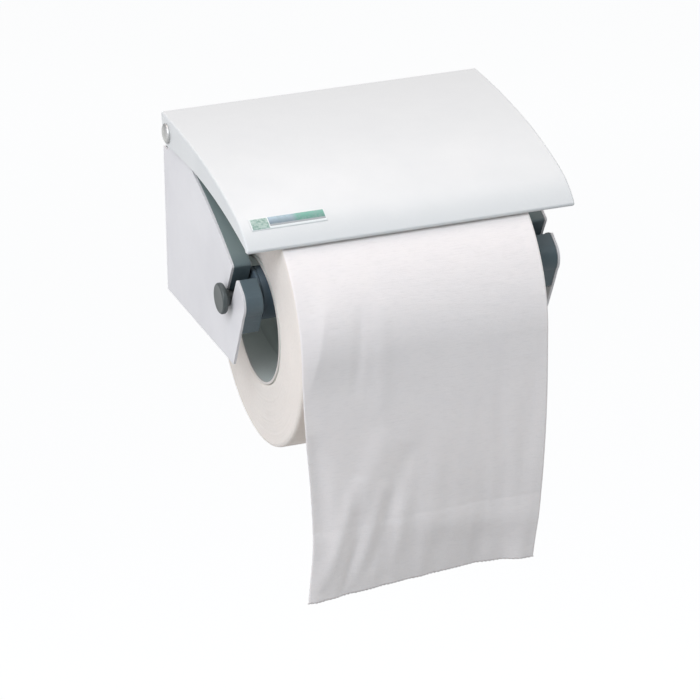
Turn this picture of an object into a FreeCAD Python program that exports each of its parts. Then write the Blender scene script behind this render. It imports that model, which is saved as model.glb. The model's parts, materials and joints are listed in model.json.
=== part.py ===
import FreeCAD, Part
import math
import os

# A wall holder for one toilet roll: a folded steel bracket with two cheeks, dark plastic side
# liners, a spindle that lies in open slots, a hinged curved cover and a roll with its hanging end.
# Millimetres. X is to the right, the front faces -Y, Z is up. The wall is the plane Y = 0 and
# the origin is the middle of the two wall screw holes.

# Bracket, and where the hinge lies
hinge_from_wall = 12.0
hinge_above_screws = 35.0
bracket_sheet = 1.0
bracket_bend_inside = 1.0
screw_spacing = 80.0
screw_hole_diameter = 5.0

# Cheek outline, measured forward of the hinge and below it
cheek_drop = 70.2
cheek_foot_forward = 70.6
cheek_back_top_drop = 9.5
boss_cover_gap = 0.7
front_edge_forward = 29.0
front_edge_drop = 8.4
front_edge_bulge = 1.8
slot_lip_round = 1.0

# Spindle seat, and the nose in front of it, measured from the spindle axis
spindle_forward = 67.0
spindle_drop = 43.6
rod_play = 0.3
slot_lean_deg = 30.0
nose_top_ahead = 14.2
nose_top_above = 8.2
nose_tip_ahead = 17.8
nose_tip_above = 3.3
nose_under_ahead = 16.0
nose_under_below = 2.4
nose_root_ahead = 13.5
nose_root_below = 7.6

# Cover
cover_sheet = 1.0
cover_behind_hinge = 6.6
cover_above_hinge = 6.9
cover_back_run = 51.0
cover_back_turn_deg = 7.5
cover_middle_run = 38.0
cover_middle_turn_deg = 10.5
cover_lip_run = 16.5
cover_lip_turn_deg = 32.0
cover_hem = 4.0
cover_fold_round = 0.8
ear_radius = 5.5
flange_edge_bulge = 4.7
cover_swing_clearance = 0.6

# Blank label on the cover
label_length = 30.0
label_height = 5.5
label_thickness = 0.25
label_from_side = 4.2
label_from_lip_bend = 3.3

# Hinge rivets and washers
rivet_diameter = 4.0
rivet_head_diameter = 8.0
rivet_head_height = 1.6
rivet_head_round = 1.3
rivet_tail_diameter = 6.4
rivet_tail_height = 1.1
washer_diameter = 10.0
washer_thickness = 0.4
hinge_play = 0.05
washer_play = 0.1

# Side liners
liner_thickness = 7.0
liner_back_forward = 12.0
liner_foot_drop = 54.5
pad_from_liner_back = 10.0
pad_drop = 20.0
pad_length = 30.0
pad_height = 24.0
pad_thickness = 0.8

# Spindle
rod_diameter = 5.4
rod_beyond_knob = 0.6
tube_diameter = 20.8
tube_wall = 1.6
tube_end_play = 1.0
cap_flange = 1.5
cap_plug = 6.0
cap_edge_round = 0.6
knob_diameter = 12.2
knob_thickness = 2.4
knob_round = 0.9
collar_diameter = 7.0
collar_length = 1.4
collar_play = 0.5

# Roll
roll_width = 100.0
roll_offset = -2.0
roll_side_room = 6.9
core_inner_radius = 24.6
core_wall = 0.9
roll_hang_gap = 0.3
roll_lean_deg = 20.0
roll_under_cover_gap = 1.5
roll_edge_round = 1.0

# Hanging end of the paper: its foot is drawn in at both sides and swings back towards the wall
tail_gap = 0.3
tail_thickness = 0.35
tail_start_deg = 80.0
tail_drop = 100.3
tail_drawn_in_left = 2.8
tail_drawn_in_right = 2.2
tail_swing_back = 11.7
tail_swing_power = 2.6
tail_swing_shares = [0.18, 0.38, 0.63, 0.84, 1.0, 0.68]
tail_fold_depth = 1.6
tail_fold_shares = [0.6, -0.8, 0.5, -0.55, 0.7]
tail_level_shares = [0.0, 0.35, 0.7, 1.0]

# One overrun serves every cut, and one tolerance finds edges
overrun = 2.0
match = 0.01

# Values worked out from the driving sizes
hinge_up = hinge_above_screws
liner_inner = roll_width / 2 + roll_side_room
cheek_inner = liner_inner + liner_thickness
cheek_outer = cheek_inner + bracket_sheet
ear_inner = cheek_outer + washer_thickness + 2 * washer_play
cover_half = ear_inner + cover_sheet
cheek_boss_radius = cover_above_hinge - cover_sheet - boss_cover_gap
slot_width = rod_diameter + 2 * rod_play
pad_forward = liner_back_forward + pad_from_liner_back
rivet_radius = rivet_diameter / 2
spindle_out = hinge_from_wall + spindle_forward
spindle_up = hinge_up - spindle_drop
rod_radius = rod_diameter / 2
tube_radius = tube_diameter / 2
core_outer_radius = core_inner_radius + core_wall
roll_left = roll_offset - roll_width / 2
roll_right = roll_offset + roll_width / 2
roll_hang = core_inner_radius - tube_radius - roll_hang_gap
roll_lean = math.radians(roll_lean_deg)
roll_out = spindle_out - roll_hang * math.sin(roll_lean)
roll_up = spindle_up - roll_hang * math.cos(roll_lean)
slot_lean = math.radians(slot_lean_deg)

ALONG_X = FreeCAD.Vector(1, 0, 0)
os.makedirs("parts", exist_ok=True)


def place(x, out, up):
    """A point from its distance to the right, out from the wall and up."""
    return FreeCAD.Vector(x, -out, up)


def from_hinge(forward, above):
    """A side-view point, as (out, up), from its place relative to the hinge."""
    return hinge_from_wall + forward, hinge_up + above


def from_spindle(ahead, above):
    """A side-view point, as (out, up), from its place relative to the spindle axis."""
    return spindle_out + ahead, spindle_up + above


def straight(start, end):
    return Part.LineSegment(place(0, *start), place(0, *end)).toShape()


def bow(start, middle, end):
    return Part.Arc(place(0, *start), place(0, *middle), place(0, *end)).toShape()


def polygon(points):
    """Edges of a closed side-view polygon."""
    return [straight(a, b) for a, b in zip(points, points[1:] + points[:1])]


def slab(edges, x_from, x_to):
    """A side-view outline given thickness along X."""
    face = Part.Face(Part.Wire(edges))
    solid = face.extrude(FreeCAD.Vector(x_to - x_from, 0, 0))
    solid.translate(FreeCAD.Vector(x_from, 0, 0))
    return solid


def rod(radius, x_from, x_to, centre):
    """A round bar along X."""
    return Part.makeCylinder(radius, x_to - x_from, place(x_from, *centre), ALONG_X)


def box(x_from, x_to, out_from, out_to, up_from, up_to):
    corner = place(x_from, out_to, up_from)
    return Part.makeBox(x_to - x_from, out_to - out_from, up_to - up_from, corner)


def mirrored(solid):
    """The same piece on the other side of the middle plane."""
    return solid.mirror(FreeCAD.Vector(0, 0, 0), ALONG_X)


def rounded_rims(solid, radius, x_planes):
    """Rounds the full circles that lie in the given X planes."""
    rims = []
    for edge in solid.Edges:
        spans = edge.BoundBox
        flat = spans.XLength < match
        if flat and any(abs(spans.XMin - x) < match for x in x_planes):
            rims.append(edge)
    return solid.makeFillet(radius, rims)


def save(name, solid):
    solid.exportStep("parts/" + name + ".step")
    count = len(solid.Solids)
    print(name, "valid", solid.isValid(), "solids", count, "volume", round(solid.Volume, 1))


def middle_of_arc(start, end, bulge):
    """The middle point of an arc that stands out from its chord by bulge, on the left of its way."""
    run_out = end[0] - start[0]
    run_up = end[1] - start[1]
    length = math.hypot(run_out, run_up)
    out = (start[0] + end[0]) / 2 - run_up / length * bulge
    up = (start[1] + end[1]) / 2 + run_out / length * bulge
    return out, up


def on_circle(centre, radius, angle):
    return centre[0] + radius * math.cos(angle), centre[1] + radius * math.sin(angle)


def tangent_angle(centre, radius, point, side):
    """The angle on a circle where a straight line from point touches it."""
    run_out = point[0] - centre[0]
    run_up = point[1] - centre[1]
    return math.atan2(run_up, run_out) + side * math.acos(radius / math.hypot(run_out, run_up))


# Cover profile: three bends in a row, each bend is (centre, outer radius, start angle, end angle)
def cover_bends():
    out, up = from_hinge(-cover_behind_hinge, cover_above_hinge)
    heading = 0.0
    bends = []
    steps = [
        (cover_back_run, cover_back_turn_deg),
        (cover_middle_run, cover_middle_turn_deg),
        (cover_lip_run, cover_lip_turn_deg),
    ]
    for run, turn_deg in steps:
        turn = math.radians(turn_deg)
        radius = run / turn
        centre = (out - radius * math.sin(-heading), up - radius * math.cos(heading))
        start = math.pi / 2 + heading
        heading -= turn
        end = math.pi / 2 + heading
        bends.append((centre, radius, start, end))
        out, up = on_circle(centre, radius, end)
    return bends


def bend_edge(bend, inset):
    """One bend's edge, from back to front, inset towards the inside of the cover."""
    centre, radius, start, end = bend
    middle = (start + end) / 2
    return bow(*[on_circle(centre, radius - inset, a) for a in (start, middle, end)])


def bend_point(bend, inset, share):
    centre, radius, start, end = bend
    return on_circle(centre, radius - inset, start + (end - start) * share)


def bend_strip(bend, inset_from, inset_to, share_from, share_to, x_from, x_to):
    """A strip of one bend between two insets and two shares of its run."""
    centre, radius, start, end = bend
    first = start + (end - start) * share_from
    last = start + (end - start) * share_to
    part = (centre, radius, first, last)
    edges = [
        bend_edge(part, inset_from),
        straight(bend_point(part, inset_from, 1), bend_point(part, inset_to, 1)),
        bend_edge(part, inset_to),
        straight(bend_point(part, inset_to, 0), bend_point(part, inset_from, 0)),
    ]
    return slab(edges, x_from, x_to)


bends = cover_bends()
lip_bend = bends[-1]
hem_depth = 2 * cover_sheet
lip_end = bend_point(lip_bend, cover_sheet, 1)


# Side view of a cheek, with the spindle slot
def cheek_edges():
    hinge = from_hinge(0, 0)
    back_foot = (0, hinge_up - cheek_drop)
    front_foot = from_hinge(cheek_foot_forward, -cheek_drop)
    nose_root = from_spindle(nose_root_ahead, -nose_root_below)
    nose_under = from_spindle(nose_under_ahead, -nose_under_below)
    nose_tip = from_spindle(nose_tip_ahead, nose_tip_above)
    nose_top = from_spindle(nose_top_ahead, nose_top_above)
    edge_start = from_hinge(front_edge_forward, -front_edge_drop)
    edge_middle = middle_of_arc(nose_top, edge_start, -front_edge_bulge)
    front_touch = tangent_angle(hinge, cheek_boss_radius, edge_start, 1)
    back_top = (0, hinge_up - cheek_back_top_drop)
    relief_radius = math.hypot(cover_behind_hinge, cover_above_hinge) + cover_swing_clearance
    relief_angle = math.atan2(-cheek_back_top_drop, cover_behind_hinge - hinge_from_wall) + 2 * math.pi
    boss_back = on_circle(hinge, cheek_boss_radius, relief_angle)
    relief_point = on_circle(hinge, relief_radius, relief_angle)
    boss_top = on_circle(hinge, cheek_boss_radius, (relief_angle + front_touch) / 2)
    boss_front = on_circle(hinge, cheek_boss_radius, front_touch)
    return [
        straight(back_foot, front_foot),
        straight(front_foot, nose_root),
        straight(nose_root, nose_under),
        bow(nose_under, nose_tip, nose_top),
        bow(nose_top, edge_middle, edge_start),
        straight(edge_start, boss_front),
        bow(boss_front, boss_top, boss_back),
        straight(boss_back, relief_point),
        straight(relief_point, back_top),
        straight(back_top, back_foot),
    ]


def slot_cut(x_from, x_to):
    """The open slot: a round seat for the spindle and a straight way up and forward."""
    along = (math.sin(slot_lean), math.cos(slot_lean))
    half = slot_width / 2
    reach = math.hypot(nose_top_ahead, nose_top_above) + overrun
    left = (-along[1] * half, along[0] * half)
    points = [
        from_spindle(left[0], left[1]),
        from_spindle(-left[0], -left[1]),
        from_spindle(-left[0] + along[0] * reach, -left[1] + along[1] * reach),
        from_spindle(left[0] + along[0] * reach, left[1] + along[1] * reach),
    ]
    way = slab(polygon(points), x_from, x_to)
    seat = rod(half, x_from, x_to, (spindle_out, spindle_up))
    return way.fuse(seat).removeSplitter()


def is_slot_lip(edge, x_low, x_high):
    """True for the corners along X where the slot opens in the front edge."""
    spans = edge.BoundBox
    if spans.XLength < (x_high - x_low) - match or spans.YLength > match:
        return False
    ahead = -spans.YMin - spindle_out
    above = spans.ZMin - spindle_up
    along = ahead * math.sin(slot_lean) + above * math.cos(slot_lean)
    across = abs(above * math.sin(slot_lean) - ahead * math.cos(slot_lean))
    return along > slot_width and abs(across - slot_width / 2) < match


def side_plate(x_from, x_to):
    """A plate of the cheek's outline, with the slot and its rounded lips."""
    plate = slab(cheek_edges(), x_from, x_to)
    plate = plate.cut(slot_cut(x_from - overrun, x_to + overrun))
    lips = [e for e in plate.Edges if is_slot_lip(e, x_from, x_to)]
    return plate.makeFillet(slot_lip_round, lips)


def make_wall_bracket():
    """Back plate and two cheeks, folded from one sheet."""
    depth = hinge_from_wall + spindle_forward + nose_tip_ahead + overrun
    low = hinge_up - cheek_drop - overrun
    high = hinge_up + cheek_boss_radius + overrun
    inside_bend = bracket_bend_inside
    outside_bend = bracket_bend_inside + bracket_sheet
    outer = box(-cheek_outer, cheek_outer, 0, depth, low, high)
    outer = outer.makeFillet(outside_bend, upright_edges(outer, 0))
    inner = box(-cheek_inner, cheek_inner, bracket_sheet, depth + overrun, low - overrun, high + overrun)
    inner = inner.makeFillet(inside_bend, upright_edges(inner, bracket_sheet))
    channel = outer.cut(inner)
    bracket = channel.common(side_plate(-cheek_outer - overrun, cheek_outer + overrun))
    rivet_hole = rod(rivet_radius, -cheek_outer - overrun, cheek_outer + overrun, from_hinge(0, 0))
    bracket = bracket.cut(rivet_hole)
    for x in (-screw_spacing / 2, screw_spacing / 2):
        start = place(x, bracket_sheet + overrun, 0)
        drill = Part.makeCylinder(
            screw_hole_diameter / 2, bracket_sheet + 2 * overrun, start, FreeCAD.Vector(0, 1, 0)
        )
        bracket = bracket.cut(drill)
    return bracket.removeSplitter()


def upright_edges(solid, out):
    """Edges along Z at one distance from the wall."""
    found = []
    for edge in solid.Edges:
        spans = edge.BoundBox
        if spans.XLength + spans.YLength < match and abs(spans.YMin + out) < match:
            found.append(edge)
    return found


def make_side_liner():
    """The right-hand liner: a plastic plate on the inside of the cheek, with a pad recess."""
    plate = side_plate(liner_inner, cheek_inner)
    high = hinge_up + cheek_boss_radius
    depth = hinge_from_wall + spindle_forward + nose_tip_ahead + overrun
    keep = box(
        liner_inner, cheek_inner, hinge_from_wall + liner_back_forward, depth,
        hinge_up - liner_foot_drop, high,
    )
    liner = plate.common(keep)
    liner = liner.cut(make_liner_pad())
    return liner.removeSplitter()


def make_liner_pad():
    """The right-hand foam pad that holds the liner to the cheek."""
    out, up = from_hinge(pad_forward, -pad_drop)
    return box(cheek_inner - pad_thickness, cheek_inner, out, out + pad_length, up - pad_height, up)


def profile_edges():
    """Outline of the cover's curved sheet in the side view."""
    edges = [bend_edge(b, 0) for b in bends]
    edges.append(straight(bend_point(lip_bend, 0, 1), lip_end))
    edges += [bend_edge(b, cover_sheet) for b in reversed(bends)]
    edges.append(straight(bend_point(bends[0], cover_sheet, 0), bend_point(bends[0], 0, 0)))
    return edges


def make_front_hem():
    """The sheet's front edge, folded back under the lip, with a round bead along the fold."""
    hem_share = 1 - cover_hem / cover_lip_run
    hem = bend_strip(lip_bend, cover_sheet, hem_depth, hem_share, 1, -cover_half, cover_half)
    bead = rod(cover_sheet, -cover_half, cover_half, lip_end)
    bead = rounded_rims(bead, cover_fold_round, [-cover_half, cover_half])
    return hem.fuse(bead)


def make_side_flange():
    """The right-hand flange: round the hinge at the back, and tapering to nothing at the lip."""
    hinge = from_hinge(0, 0)
    back_under = bend_point(bends[0], cover_sheet, 0)
    ear_low = on_circle(hinge, ear_radius, -math.pi / 2)
    rear = tangent_angle(hinge, ear_radius, back_under, 1) - 2 * math.pi
    edges = [bend_edge(b, 0) for b in bends]
    edges += [
        straight(bend_point(lip_bend, 0, 1), lip_end),
        bow(lip_end, middle_of_arc(ear_low, lip_end, flange_edge_bulge), ear_low),
        bow(
            ear_low,
            on_circle(hinge, ear_radius, (rear - math.pi / 2) / 2),
            on_circle(hinge, ear_radius, rear),
        ),
        straight(on_circle(hinge, ear_radius, rear), back_under),
        straight(back_under, bend_point(bends[0], 0, 0)),
    ]
    return slab(edges, ear_inner, cover_half)


def is_side_fold(edge):
    """True for the edges where the cover's top folds down into a side flange."""
    if edge.BoundBox.XLength > match or abs(abs(edge.BoundBox.XMin) - cover_half) > match:
        return False
    middle = edge.valueAt((edge.FirstParameter + edge.LastParameter) / 2)
    for centre, radius, start, end in bends:
        distance = math.hypot(-middle.y - centre[0], middle.z - centre[1])
        angle = math.atan2(middle.z - centre[1], -middle.y - centre[0])
        if abs(distance - radius) < match and end < angle < start:
            return True
    return False


def make_cover():
    """Curved sheet, folded down at both sides and hemmed along the front."""
    flange = make_side_flange()
    cover = slab(profile_edges(), -cover_half, cover_half).fuse([flange, mirrored(flange)]).removeSplitter()
    cover = cover.makeFillet(cover_fold_round, [e for e in cover.Edges if is_side_fold(e)])
    cover = cover.fuse(make_front_hem())
    pin_hole = rod(rivet_radius + hinge_play, -cover_half - overrun, cover_half + overrun, from_hinge(0, 0))
    return cover.cut(pin_hole).removeSplitter()


def make_blank_label():
    """A thin bare label that follows the bend of the cover's lip."""
    share_from = label_from_lip_bend / cover_lip_run
    share_to = (label_from_lip_bend + label_height) / cover_lip_run
    x_from = -cover_half + label_from_side
    return bend_strip(lip_bend, -label_thickness, 0, share_from, share_to, x_from, x_from + label_length)


def make_hinge_rivet():
    """The right-hand rivet: domed head outside the flange, shank, and a formed tail inside the cheek."""
    hinge = from_hinge(0, 0)
    head_from = cover_half + washer_play
    head_to = head_from + rivet_head_height
    head = rod(rivet_head_diameter / 2, head_from, head_to, hinge)
    head = rounded_rims(head, rivet_head_round, [head_to])
    tail = rod(rivet_tail_diameter / 2, cheek_inner - rivet_tail_height, cheek_inner, hinge)
    shank = rod(rivet_radius, cheek_inner - rivet_tail_height, head_to - rivet_head_round, hinge)
    return head.fuse([shank, tail]).removeSplitter()


def make_hinge_washer():
    """The right-hand washer, between the cheek and the cover's flange."""
    start = cheek_outer + washer_play
    washer = rod(washer_diameter / 2, start, start + washer_thickness, from_hinge(0, 0))
    return washer.cut(rod(rivet_radius + hinge_play, start, start + washer_thickness, from_hinge(0, 0)))


spindle_axis = (spindle_out, spindle_up)
cap_outer = liner_inner - tube_end_play
tube_half = cap_outer - cap_flange
collar_start = cheek_outer + collar_play
disc_start = collar_start + collar_length
knob_end = disc_start + knob_thickness
rod_half = knob_end - rod_beyond_knob


def make_spindle_rod():
    return rod(rod_radius, -rod_half, rod_half, spindle_axis)


def make_spindle_tube():
    tube = rod(tube_radius, -tube_half, tube_half, spindle_axis)
    return tube.cut(rod(tube_radius - tube_wall, -tube_half, tube_half, spindle_axis))


def make_tube_cap():
    """The right-hand cap: a flange over the tube's end and a plug inside it."""
    flange = rod(tube_radius, tube_half, cap_outer, spindle_axis)
    flange = rounded_rims(flange, cap_edge_round, [cap_outer])
    plug = rod(tube_radius - tube_wall, tube_half - cap_plug, tube_half, spindle_axis)
    cap = flange.fuse(plug)
    return cap.cut(rod(rod_radius, tube_half - cap_plug, cap_outer, spindle_axis)).removeSplitter()


def make_knob():
    """The right-hand knob: a flat disc on a short collar, with a blind hole for the rod."""
    disc = rod(knob_diameter / 2, disc_start, knob_end, spindle_axis)
    disc = rounded_rims(disc, knob_round, [disc_start, knob_end])
    collar = rod(collar_diameter / 2, collar_start, disc_start + knob_round, spindle_axis)
    knob = disc.fuse(collar)
    return knob.cut(rod(rod_radius, collar_start, rod_half, spindle_axis)).removeSplitter()


# The roll fills the room under the cover's sheet and hem, up to the gap
roll_axis = (roll_out, roll_up)
roll_line = Part.makeLine(place(roll_left, *roll_axis), place(roll_right, *roll_axis))
cover_underside = slab(profile_edges(), -cover_half, cover_half).fuse(make_front_hem())
roll_radius = cover_underside.distToShape(roll_line)[0] - roll_under_cover_gap
print("roll radius", round(roll_radius, 2), "roll centre out", round(roll_out, 2), "up", round(roll_up, 2))


def make_cardboard_core():
    core = rod(core_outer_radius, roll_left, roll_right, roll_axis)
    return core.cut(rod(core_inner_radius, roll_left, roll_right, roll_axis))


def make_paper_roll():
    roll = rod(roll_radius, roll_left, roll_right, roll_axis)
    roll = rounded_rims(roll, roll_edge_round, [roll_left, roll_right])
    return roll.cut(rod(core_outer_radius, roll_left, roll_right, roll_axis))


# Hanging end of the paper: over the front of the roll, then straight down with soft folds
tail_back = roll_radius + tail_gap
tail_front = tail_back + tail_thickness


def tail_knot(index, out, up, level):
    """One fold line of the hanging sheet, drawn in and swung back towards the bottom."""
    left = roll_left + tail_drawn_in_left * level
    right = roll_right - tail_drawn_in_right * level
    swing = tail_swing_back * tail_swing_shares[index] * level ** tail_swing_power
    return place(left + (right - left) * index / len(tail_fold_shares), out - swing, up)


def tail_section(level):
    """A thin closed section of the sheet at one share of its drop."""
    up = roll_up - tail_drop * level
    lines = []
    for out in (roll_out + tail_front, roll_out + tail_back):
        edges = []
        for index, share in enumerate(tail_fold_shares):
            start = tail_knot(index, out, up, level)
            end = tail_knot(index + 1, out, up, level)
            depth = tail_fold_depth * share * level
            if depth:
                middle = (start + end) / 2 + FreeCAD.Vector(0, -depth, 0)
                edges.append(Part.Arc(start, middle, end).toShape())
            else:
                edges.append(Part.LineSegment(start, end).toShape())
        lines.append(edges)
    front, back = lines
    right = Part.LineSegment(front[-1].lastVertex().Point, back[-1].lastVertex().Point).toShape()
    left = Part.LineSegment(back[0].firstVertex().Point, front[0].firstVertex().Point).toShape()
    return Part.Wire(front + [right] + list(reversed(back)) + [left])


def make_paper_tail():
    start = math.radians(tail_start_deg)
    arcs = []
    for radius in (tail_front, tail_back):
        arcs.append(bow(*[on_circle(roll_axis, radius, a) for a in (start, start / 2, 0)]))
    edges = [
        arcs[0],
        straight(on_circle(roll_axis, tail_front, 0), on_circle(roll_axis, tail_back, 0)),
        arcs[1],
        straight(on_circle(roll_axis, tail_back, start), on_circle(roll_axis, tail_front, start)),
    ]
    wrap = slab(edges, roll_left, roll_right)
    sections = [tail_section(level) for level in tail_level_shares]
    hanging = Part.makeLoft(sections, True, False)
    return wrap.fuse(hanging).removeSplitter()


def save_pair(name, right_piece):
    save(name + "_right", right_piece)
    save(name + "_left", mirrored(right_piece))


save("wall_bracket", make_wall_bracket())
save_pair("side_liner", make_side_liner())
save_pair("liner_pad", make_liner_pad())
save("cover", make_cover())
save("blank_label", make_blank_label())
save_pair("hinge_rivet", make_hinge_rivet())
save_pair("hinge_washer", make_hinge_washer())
save("spindle_rod", make_spindle_rod())
save("spindle_tube", make_spindle_tube())
save_pair("tube_cap", make_tube_cap())
save_pair("knob", make_knob())
save("cardboard_core", make_cardboard_core())
save("paper_roll", make_paper_roll())
save("paper_tail", make_paper_tail())
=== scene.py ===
import bmesh
import bpy
import json
import math
from mathutils import Matrix, Vector, noise


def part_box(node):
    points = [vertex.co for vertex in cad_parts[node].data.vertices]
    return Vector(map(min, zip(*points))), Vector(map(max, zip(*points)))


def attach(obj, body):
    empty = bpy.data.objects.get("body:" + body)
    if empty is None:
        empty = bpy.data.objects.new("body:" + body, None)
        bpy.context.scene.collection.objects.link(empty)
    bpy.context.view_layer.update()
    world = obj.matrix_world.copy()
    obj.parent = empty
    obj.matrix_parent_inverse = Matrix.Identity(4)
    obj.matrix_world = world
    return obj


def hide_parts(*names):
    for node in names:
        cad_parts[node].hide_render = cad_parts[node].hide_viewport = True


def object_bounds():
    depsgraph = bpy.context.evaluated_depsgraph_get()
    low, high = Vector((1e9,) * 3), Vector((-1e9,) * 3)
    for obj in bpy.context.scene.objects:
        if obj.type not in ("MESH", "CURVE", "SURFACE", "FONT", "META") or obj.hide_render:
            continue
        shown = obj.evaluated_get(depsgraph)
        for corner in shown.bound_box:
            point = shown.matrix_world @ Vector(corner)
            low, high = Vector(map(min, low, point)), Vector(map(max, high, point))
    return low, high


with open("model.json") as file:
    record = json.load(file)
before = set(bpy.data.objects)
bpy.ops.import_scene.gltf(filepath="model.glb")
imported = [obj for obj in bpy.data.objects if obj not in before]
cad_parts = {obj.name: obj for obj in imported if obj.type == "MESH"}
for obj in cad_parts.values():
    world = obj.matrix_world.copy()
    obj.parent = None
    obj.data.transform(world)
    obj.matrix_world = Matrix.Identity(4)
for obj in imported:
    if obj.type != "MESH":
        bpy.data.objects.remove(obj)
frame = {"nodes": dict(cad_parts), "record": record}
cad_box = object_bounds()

from types import SimpleNamespace

# A wall holder for one toilet roll, in metres: white folded bracket, curved hinged cover, dark
# plastic liners, spindle with two knobs, and a tissue roll with its end hanging over the front.

MM = 0.001

# Camera, where the photograph was taken from
CAMERA_AZIMUTH = math.radians(20.09)
CAMERA_ELEVATION = math.radians(23.58)
CAMERA_ROLL = math.radians(-0.74)
CAMERA_PLACE = Vector((-0.52512, -1.47130, 0.60845))
CAMERA_LENS_MM = 214.1
CAMERA_SENSOR_MM = 36.0
CAMERA_REACH = 50

# Floor: its glow starts at GLOW_START from the holder and is full at GLOW_FULL. GLOW_TURN_SHARES
# is where it goes from front to behind, as the share of the way back that a direction has.
FLOOR_DROP = 1.1
FLOOR_HALF = 12.0
FLOOR_PALE = (0.90, 0.90, 0.90)
FLOOR_SHADE = (0.88, 0.88, 0.88)
FLOOR_ROUGHNESS = 0.9
FLOOR_SPECULAR = 0.1
GLOW_START = 1.1
GLOW_FULL = 1.6
GLOW_FAR = 3.4
GLOW_FAR_LIFT = 1.09
GLOW_NEAR = 0.04
GLOW_FRONT = 0.14
GLOW_BEHIND = 0.685
GLOW_TURN_SHARES = (-0.5, 0.3)
GLOW_COLOUR = (1.0, 0.985, 0.97)

# Light: a soft box is (name, place, width, depth, watts, colour), and faces the holder
SKY_COLOUR = (0.866, 0.935, 1.0)
SKY_STRENGTH = 0.262
BOX_AIM = (0.0, -0.06, -0.03)
SOFT_BOXES = [
    ("top_box", (-0.05, 0.18, 0.80), 1.0, 0.8, 5.0, (1.0, 0.88, 0.84)),
    ("key_box", (-0.75, -0.75, 0.90), 0.7, 0.7, 10.2, (0.88, 0.93, 1.0)),
    ("left_box", (-1.20, -0.30, 0.40), 0.7, 0.7, 3.9, (1.0, 0.95, 0.99)),
    ("right_box", (1.10, -0.60, 0.80), 0.8, 0.8, 5.9, (1.0, 1.0, 1.0)),
]

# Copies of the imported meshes, and the edge rounds that the real pieces have
MERGE_DISTANCE = 0.002 * MM
FLAT_ANGLE = math.radians(0.6)
SHARP_ANGLE = math.radians(30.0)
EVEN_SHADING_WEIGHT = 80
ROUND_STEPS = 3
PAINT_EDGE = 0.22 * MM
MOULDED_EDGE = 0.45 * MM
LINER_EDGE = 0.8 * MM

# Turned pieces: the hinge rivets and the spindle knobs
TURNED_SIDES = 72
TURNED_MERGE = 0.001 * MM
TURNED_EDGE = 0.12 * MM
CORNER_STEPS = 6
RIVET_HEAD_HEIGHT = 1.6 * MM
RIVET_RIM = 0.35 * MM
RIVET_DOME_STEPS = 8
RIVET_SHANK_RADIUS = 2.0 * MM
RIVET_TAIL_RADIUS = 3.2 * MM
RIVET_TAIL_HEIGHT = 1.1 * MM
KNOB_DISC = 2.4 * MM
KNOB_COLLAR_RADIUS = 3.5 * MM
KNOB_RIM = 0.9 * MM
KNOB_DISH = 0.15 * MM
KNOB_DISH_SHARE = 0.62

# Hanging sheet: how it lies, swings back and draws in towards its foot
SHEET_START = math.radians(80.0)
SHEET_GAP = 0.3 * MM
SHEET_THICKNESS = 0.35 * MM
SHEET_ACROSS_STEPS = 130
SHEET_DOWN_STEPS = 220
SWING_BACK = 11.7 * MM
SWING_POWER = 2.6
SWING_SHARES = [0.18, 0.38, 0.63, 0.84, 1.0, 0.68]
LEFT_DRAW = 3.6 * MM
LEFT_DRAW_SHARES = [0.0, 0.25, 0.8, 1.0, 0.5]
RIGHT_DRAW = 2.2 * MM
RIGHT_DRAW_SHARES = [0.0, 0.0, 0.2, 0.5, 1.0]
PERFORATION_ABOVE_FOOT = 30.0 * MM
PERFORATION_DEPTH = 0.10 * MM
PERFORATION_WIDTH = 0.9 * MM

# Hanging sheet: lumps are (height, size across, size down, seed)
RIPPLE_LUMPS = (0.05 * MM, 9 * MM, 2.2 * MM, 3.0)
STREAK_LUMPS = (1.05 * MM, 7 * MM, 45 * MM, 8.0)

# Hanging sheet: a crease is (start across, start above foot, end across, end above foot, half
# width, height), in mm
CREASE_TAPER_POWER = 3
SHEET_CREASES = [
    (24.5, 120.0, 21.0, 84.0, 2.4, -0.45),
    (33.0, 124.0, 32.0, 78.0, 3.5, 0.40),
    (3.0, 72.0, 4.0, 26.0, 5.0, -1.10),
    (32.0, 70.0, 20.5, 34.0, 5.0, 0.75),
    (43.0, 62.0, 31.0, 28.0, 4.2, -0.90),
    (5.0, 4.0, 20.0, 52.0, 3.4, 1.05),
    (14.0, -2.0, 19.5, 24.0, 2.0, -0.70),
    (18.0, 0.0, 31.0, 48.0, 3.2, 0.95),
    (26.0, 6.0, 34.5, 42.0, 2.6, -0.60),
    (34.0, 4.0, 40.5, 40.0, 3.6, 0.60),
    (36.0, 26.0, 104.0, 18.0, 7.0, 0.95),
]

# Hanging sheet: the left margin leans back from a crease that meets the edge further down
MARGIN_ACROSS_LOW = 1.5 * MM
MARGIN_RUN = 13.0 * MM
MARGIN_LIFT = 2.1 * MM
MARGIN_FADE = 24.0 * MM
MARGIN_LOW = 84.0 * MM
MARGIN_HIGH = 136.0 * MM

# Torn foot of the sheet; a tooth's shares are of its length, thickness and width
TOOTH_COUNT = 62
TOOTH_WIDTH = 0.9 * MM
TOOTH_LENGTH = 0.55 * MM
TOOTH_THICKNESS_SHARE = 0.7
TOOTH_SMALLEST_SHARES = (0.5, 0.7, 0.6)
TOOTH_LARGEST_SHARES = (1.3, 1.0, 1.2)
TOOTH_SEED = 3

# Tissue roll
ROLL_RIM_ROUND = 1.6 * MM
ROLL_RIM_STEPS = 5
ROLL_LAYER_STEP = 0.45 * MM
ROLL_LAYER_HEIGHT = 0.16 * MM
ROLL_LAYER_SEED = 7
ROLL_SIDES = 160

# Finishes: a grain is (size, detail) or (size, detail, roughness), and a bump (depth, strength).
# Most of a grain's values lie in GRAIN_SPAN.
GRAIN_ROUGHNESS = 0.55
GRAIN_SPAN = (0.3, 0.7)

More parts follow.
